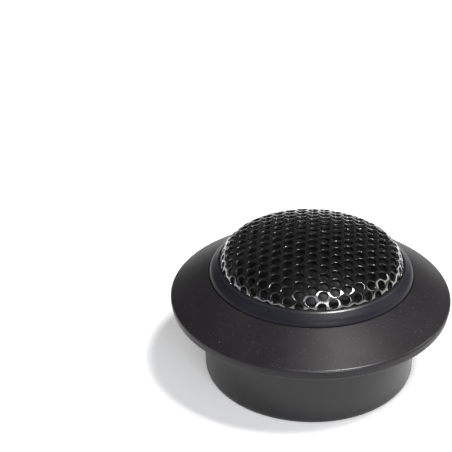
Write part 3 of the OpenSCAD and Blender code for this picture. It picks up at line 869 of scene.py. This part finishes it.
class TWEETER_OT_grommet(bpy.types.Operator):
    """Make the cable grommet in the cup's floor"""
    bl_idname = "tweeter.grommet"
    bl_label = "Cable Grommet"

    def execute(self, context):
        sizes = context.scene.tweeter_mount
        edge = GROMMET_HIGH.x
        bore = MOUNTS["cable_exit"]["dims"]["r_mm"] * MM
        groove = 1.2 * MM
        neck = edge - groove
        low = GROMMET_LOW.z + sizes.grommet_flange
        high = GROMMET_HIGH.z - sizes.grommet_flange
        outline = rounded([
            (bore, GROMMET_LOW.z, 0.3 * MM), (edge, GROMMET_LOW.z, 0.25 * MM), (edge, low, 0.1 * MM),
            (neck, low, 0.0), (neck, high, 0.0), (edge, high, 0.2 * MM),
            (neck + groove / 2, GROMMET_HIGH.z, 0.3 * MM), (bore, GROMMET_HIGH.z, 0.3 * MM),
        ])
        made = piece("grommet", turned(outline, 96), grommet_rubber(), 60)
        belongs(made, "mount", "grommet_rubber", "cable_grommet")
        return {"FINISHED"}


class TWEETER_OT_bezel(bpy.types.Operator):
    """Make the bezel that holds the grille"""
    bl_idname = "tweeter.bezel"
    bl_label = "Bezel"

    def execute(self, context):
        sizes = context.scene.tweeter_grille
        mount = context.scene.tweeter_mount
        edge = BEZEL_HIGH.x
        top = BEZEL_HIGH.z
        bore = edge - sizes.bezel_wall
        skirt = SPIGOT_R - mount.wall - mount.turn_gap
        seat = CUP_HIGH.z - mount.shelf_depth + PLAY
        band = CUP_HIGH.z + sizes.bezel_band
        lip = bore - sizes.lip
        # Middle of the bright corner between the bezel's face and its lip
        corner = lip + 0.55 * MM
        outline = rounded([
            (bore, BEZEL_LOW.z, 0.1 * MM), (skirt, BEZEL_LOW.z, 0.15 * MM), (skirt, seat, 0.05 * MM),
            (edge, seat, 0.1 * MM), (edge, band, 0.16 * MM), (edge - 0.30 * MM, band + 0.75 * MM, 0.6 * MM),
            (corner, top - 0.24 * MM, 0.2 * MM), (lip + 0.1 * MM, top, 0.1 * MM),
            (lip, top - 0.08 * MM, 0.06 * MM), (lip, top - sizes.lip, 0.05 * MM),
            (bore, top - sizes.lip, 0.0),
        ])
        made = piece("bezel", turned(outline), bezel_plastic(), 40)
        polish(made, corner - 0.25 * MM, corner + 0.25 * MM, 0.60, 0.97)
        belongs(made, "capsule", "bezel_plastic", "bezel_ring")
        return {"FINISHED"}


class TWEETER_OT_grille(bpy.types.Operator):
    """Make the domed honeycomb grille"""
    bl_idname = "tweeter.grille"
    bl_label = "Honeycomb Grille"

    def execute(self, context):
        sizes = context.scene.tweeter_grille
        rim = BEZEL_HIGH.z - sizes.lip
        base = GRILLE_HIGH.x - sizes.lip
        rise = GRILLE_HIGH.z - rim
        middle = base - sizes.shoulder
        crown = (middle ** 2 + rise ** 2 - sizes.shoulder ** 2) / (2 * (rise - sizes.shoulder))
        turn = math.asin(middle / (crown - sizes.shoulder))
        reach = crown * turn + sizes.shoulder * (math.pi / 2 - turn) + sizes.tuck
        spare_rows = 5
        rows = 2 * math.ceil(reach / min(sizes.pitch, sizes.row_pitch)) + spare_rows
        sheet = grow(self.cell(sizes), honeycomb_tree(), grille_paint(), pitch=sizes.pitch,
                     row_pitch=sizes.row_pitch, rows=rows, reach=reach, crown=crown, shoulder=sizes.shoulder,
                     turn=turn, top=GRILLE_HIGH.z)
        thickness = sheet.modifiers.new("Thickness", "SOLIDIFY")
        thickness.thickness = sizes.sheet
        thickness.offset = -1.0
        settle(sheet)
        edges = sheet.modifiers.new("Paint rounding", "BEVEL")
        edges.width = sizes.paint_round
        edges.segments = 2
        edges.limit_method = "ANGLE"
        edges.angle_limit = math.radians(50)
        settle(sheet)
        flange_width = 0.6 * MM
        flange = rounded([
            (base - flange_width, GRILLE_LOW.z, 0.0), (GRILLE_HIGH.x, GRILLE_LOW.z, 0.1 * MM),
            (GRILLE_HIGH.x, rim, 0.1 * MM), (base, rim, 0.0),
        ])
        joined(sheet, piece("grille_flange", turned(flange), grille_paint()))
        smooth(sheet, 50)
        belongs(sheet, "capsule", "grille_paint", "grille")
        return {"FINISHED"}

    def cell(self, sizes):
        """One flat hexagonal tile of the sheet with its hole, as a ring of faces."""
        form = bmesh.new()
        beside_corner = 0.30
        angles = []
        for side in range(6):
            angles += [side * math.pi / 3 + turn for turn in (-beside_corner, 0.0, beside_corner)]
        rings = []
        stretch = sizes.row_pitch / (sizes.pitch * math.sqrt(3) / 2)
        for width, corner, wider in ((sizes.pitch, 0.0, stretch), (sizes.hole, sizes.corner, 1.0)):
            ring = []
            for angle in angles:
                far = hexagon_edge(width, angle)
                if abs(math.cos(3 * angle)) > 0.999:
                    far -= corner
                ring.append(form.verts.new((wider * far * math.cos(angle), far * math.sin(angle), 0.0)))
            rings.append(ring)
        outer, inner = rings
        for k in range(len(angles)):
            after = (k + 1) % len(angles)
            form.faces.new((outer[k], outer[after], inner[after], inner[k]))
        return piece("honeycomb_grille", form)


def hexagon_edge(width, angle):
    """Distance from the middle of a hexagon, with a corner on the X axis, to its edge."""
    from_flat = (angle % (math.pi / 3)) - math.pi / 6
    return width / 2 / math.cos(from_flat)


class TWEETER_OT_dome(bpy.types.Operator):
    """Make the silk dome and its skirt around the former"""
    bl_idname = "tweeter.dome"
    bl_label = "Silk Dome"

    def execute(self, context):
        sizes = context.scene.tweeter_diaphragm
        skirt = 0.5 * MM
        foot = DOME_LOW.z + skirt
        rise = DOME_HIGH.z - foot
        base = DOME_HIGH.x
        ball = (base ** 2 + rise ** 2) / (2 * rise)
        middle = DOME_HIGH.z - ball
        lean = math.degrees(math.asin(base / ball))
        outer = arc(0.0, middle, ball, 90 - lean, 90, 32)
        inner_base = base - sizes.silk
        inner_lean = math.degrees(math.asin(inner_base / (ball - sizes.silk)))
        inner = arc(0.0, middle, ball - sizes.silk, 90, 90 - inner_lean, 32)
        outline = [Vector((inner_base, DOME_LOW.z)), Vector((base, DOME_LOW.z))] + outer + inner
        made = piece("silk_dome", turned(outline, 144), coated_silk(), 60)
        belongs(made, "diaphragm", "coated_silk", "dome")
        return {"FINISHED"}


class TWEETER_OT_surround(bpy.types.Operator):
    """Make the rolled surround around the dome"""
    bl_idname = "tweeter.surround"
    bl_label = "Surround"

    def execute(self, context):
        sizes = context.scene.tweeter_diaphragm
        glue_gap = 0.03 * MM
        inner = DOME_HIGH.x + glue_gap
        outer = inner + sizes.roll
        middle = (inner + outer) / 2
        foot = SURROUND_LOW.z
        top = foot + sizes.silk
        flat = sizes.roll_rise / (sizes.roll / 2)
        above = [Vector((point.x, top + (point.y - top) * flat)) for point in
                 arc(middle, top, sizes.roll / 2, 0, 180, 24)]
        below = [Vector((point.x, foot + (point.y - foot) * flat)) for point in
                 arc(middle, foot, sizes.roll / 2 - sizes.silk, 180, 0, 24)]
        outline = [Vector((SURROUND_HIGH.x, foot)), Vector((SURROUND_HIGH.x, top))] + above + below
        made = piece("silk_surround", turned(outline, 144), coated_silk(), 60)
        belongs(made, "capsule", "surround_silk", "surround")
        return {"FINISHED"}


class TWEETER_OT_clamp_ring(bpy.types.Operator):
    """Make the clamp ring between the grille and the surround"""
    bl_idname = "tweeter.clamp_ring"
    bl_label = "Clamp Ring"

    def execute(self, context):
        sizes = context.scene.tweeter_diaphragm
        clearance = 0.43 * MM
        flare = DOME_HIGH.x + sizes.roll + clearance
        edge = CLAMP_HIGH.x
        outline = rounded([
            (flare, CLAMP_LOW.z, 0.05 * MM), (edge, CLAMP_LOW.z, 0.05 * MM), (edge, CLAMP_HIGH.z, 0.1 * MM),
            (edge - 1.1 * MM, CLAMP_HIGH.z, 0.15 * MM), (flare, CLAMP_LOW.z + 0.4 * MM, 0.1 * MM),
        ])
        made = piece("clamp_ring_moulding", turned(outline), inner_plastic(), 40)
        belongs(made, "capsule", "inner_plastic", "clamp_ring")
        return {"FINISHED"}


class TWEETER_OT_voice_coil(bpy.types.Operator):
    """Wind the voice coil and finish its former"""
    bl_idname = "tweeter.voice_coil"
    bl_label = "Voice Coil"

    def execute(self, context):
        sizes = context.scene.tweeter_diaphragm
        inside = WINDING_HIGH.x - sizes.layers * sizes.wire
        turns = round((WINDING_HIGH.z - WINDING_LOW.z) / sizes.wire)
        base = piece("wire_turns", bmesh.new())
        made = grow(base, winding_tree(), copper_wire(), radius=inside + sizes.wire / 2, wire=sizes.wire,
                    turns=turns, layers=sizes.layers, foot=WINDING_LOW.z)
        smooth(made, 80)
        belongs(made, "diaphragm", "winding_copper", "coil_winding")
        repaint("coil_former", former_film())
        return {"FINISHED"}


class TWEETER_OT_inner_finishes(bpy.types.Operator):
    """Finish the motor, the shell and the small parts behind the grille"""
    bl_idname = "tweeter.inner_finishes"
    bl_label = "Inner Finishes"

    def execute(self, context):
        for material, nodes in (
            (zinc_steel, ("pole_plate", "yoke", "shell_screws")),
            (nickel_plate, ("magnet",)),
            (wool_felt, ("felt_pad",)),
            (soft_foam, ("chamber_foam", "diaphragm_gasket")),
            (inner_plastic, ("face_plate", "capsule_shell")),
            (paper_board, ("terminal_board",)),
            (brass_sheet, ("terminal_wide", "terminal_narrow", "tinsel_leads")),
        ):
            for node in nodes:
                repaint(node, material())
        return {"FINISHED"}


class TWEETER_OT_studio(bpy.types.Operator):
    """Set the pale floor, the soft lights and the camera"""
    bl_idname = "tweeter.studio"
    bl_label = "Studio"

    def execute(self, context):
        studio = context.scene.tweeter_studio
        self.floor(studio)
        self.room(context, studio)
        aim = Vector((0, 0, 8 * MM))
        # Name, place, size, power and tint
        for softbox in (
            ("Overhead softbox", (0.20, -0.13, 0.61), 0.16, studio.overhead, (1.0, 0.99, 0.98)),
            ("Front softbox", (0.06, -0.52, 0.56), 0.42, studio.front, (0.92, 0.94, 1.0)),
            ("Low softbox", (0.30, -0.80, 0.24), 0.40, studio.low, (0.97, 0.98, 1.0)),
            ("Right softbox", (0.62, 0.10, 0.30), 0.30, studio.side, (1.0, 0.99, 0.94)),
        ):
            self.softbox(aim, *softbox)
        self.camera(context, studio)
        return {"FINISHED"}

    def floor(self, studio):
        """A wide pale floor that glows a little, for the cup to stand on."""
        form = bmesh.new()
        bmesh.ops.create_grid(form, x_segments=1, y_segments=1, size=3.0)
        bmesh.ops.translate(form, verts=form.verts, vec=(0, 0, CAD_BOX[0][2]))
        material = bpy.data.materials.new("Pale floor")
        material.use_nodes = True
        shader = material.node_tree.nodes["Principled BSDF"]
        shader.inputs["Base Color"].default_value = (*studio.floor, 1.0)
        shader.inputs["Roughness"].default_value = 0.9
        shader.inputs["Emission Color"].default_value = (*studio.floor, 1.0)
        shader.inputs["Emission Strength"].default_value = studio.floor_glow
        piece("studio_floor", form, material)

    def room(self, context, studio):
        """Even light from all round."""
        world = bpy.data.worlds.new("Studio room")
        context.scene.world = world
        world.use_nodes = True
        world.node_tree.nodes["Background"].inputs["Color"].default_value = (*studio.room, 1.0)
        context.scene.view_settings.view_transform = "Standard"

    def softbox(self, aim, name, place, size, watts, tint):
        """A square softbox that faces the tweeter."""
        lamp = bpy.data.lights.new(name, "AREA")
        lamp.size = size
        lamp.energy = watts
        lamp.color = tint
        made = shown(name, lamp)
        made.location = place
        made.rotation_euler = (aim - Vector(place)).to_track_quat("-Z", "Y").to_euler()

    def camera(self, context, studio):
        """A camera in front of the tweeter that looks down at the flange's rim."""
        data = bpy.data.cameras.new("Studio camera")
        data.sensor_width = 36.0
        data.lens = studio.lens
        data.shift_x = studio.shift_x
        data.shift_y = studio.shift_y
        data.clip_start = 0.01
        made = shown("Studio camera", data)
        aim = Vector((0, 0, context.scene.tweeter_mount.rim_height))
        away = Vector((0, -math.cos(studio.elevation), math.sin(studio.elevation)))
        made.location = aim + studio.distance * away
        made.rotation_euler = (Matrix.Rotation(math.pi / 2 - studio.elevation, 3, "X")
                               @ Matrix.Rotation(studio.roll, 3, "Z")).to_euler()
        context.scene.camera = made


OPERATORS = (
    TWEETER_OT_studio, TWEETER_OT_flange_cup, TWEETER_OT_grommet, TWEETER_OT_bezel, TWEETER_OT_grille,
    TWEETER_OT_dome, TWEETER_OT_surround, TWEETER_OT_clamp_ring, TWEETER_OT_voice_coil,
    TWEETER_OT_inner_finishes,
)


class TWEETER_PT_pieces(bpy.types.Panel):
    """Pieces of the tweeter"""
    bl_label = "Flush Mount Tweeter"
    bl_space_type = "VIEW_3D"
    bl_region_type = "UI"
    bl_category = "Tweeter"

    def draw(self, context):
        for operator in OPERATORS:
            self.layout.operator(operator.bl_idname)


GROUPS = {
    "tweeter_mount": TweeterMountSizes,
    "tweeter_grille": TweeterGrilleSizes,
    "tweeter_diaphragm": TweeterDiaphragmSizes,
    "tweeter_colours": TweeterColours,
    "tweeter_studio": TweeterStudio,
}


def register():
    for group in (*GROUPS.values(), *OPERATORS, TWEETER_PT_pieces):
        bpy.utils.register_class(group)
    for name, group in GROUPS.items():
        setattr(bpy.types.Scene, name, PointerProperty(type=group))


def unregister():
    for name in GROUPS:
        delattr(bpy.types.Scene, name)
    for group in (TWEETER_PT_pieces, *reversed(OPERATORS), *reversed(GROUPS.values())):
        bpy.utils.unregister_class(group)


def main():
    register()
    for operator in OPERATORS:
        group, name = operator.bl_idname.split(".")
        getattr(getattr(bpy.ops, group), name)()


if __name__ == "__main__":
    main()
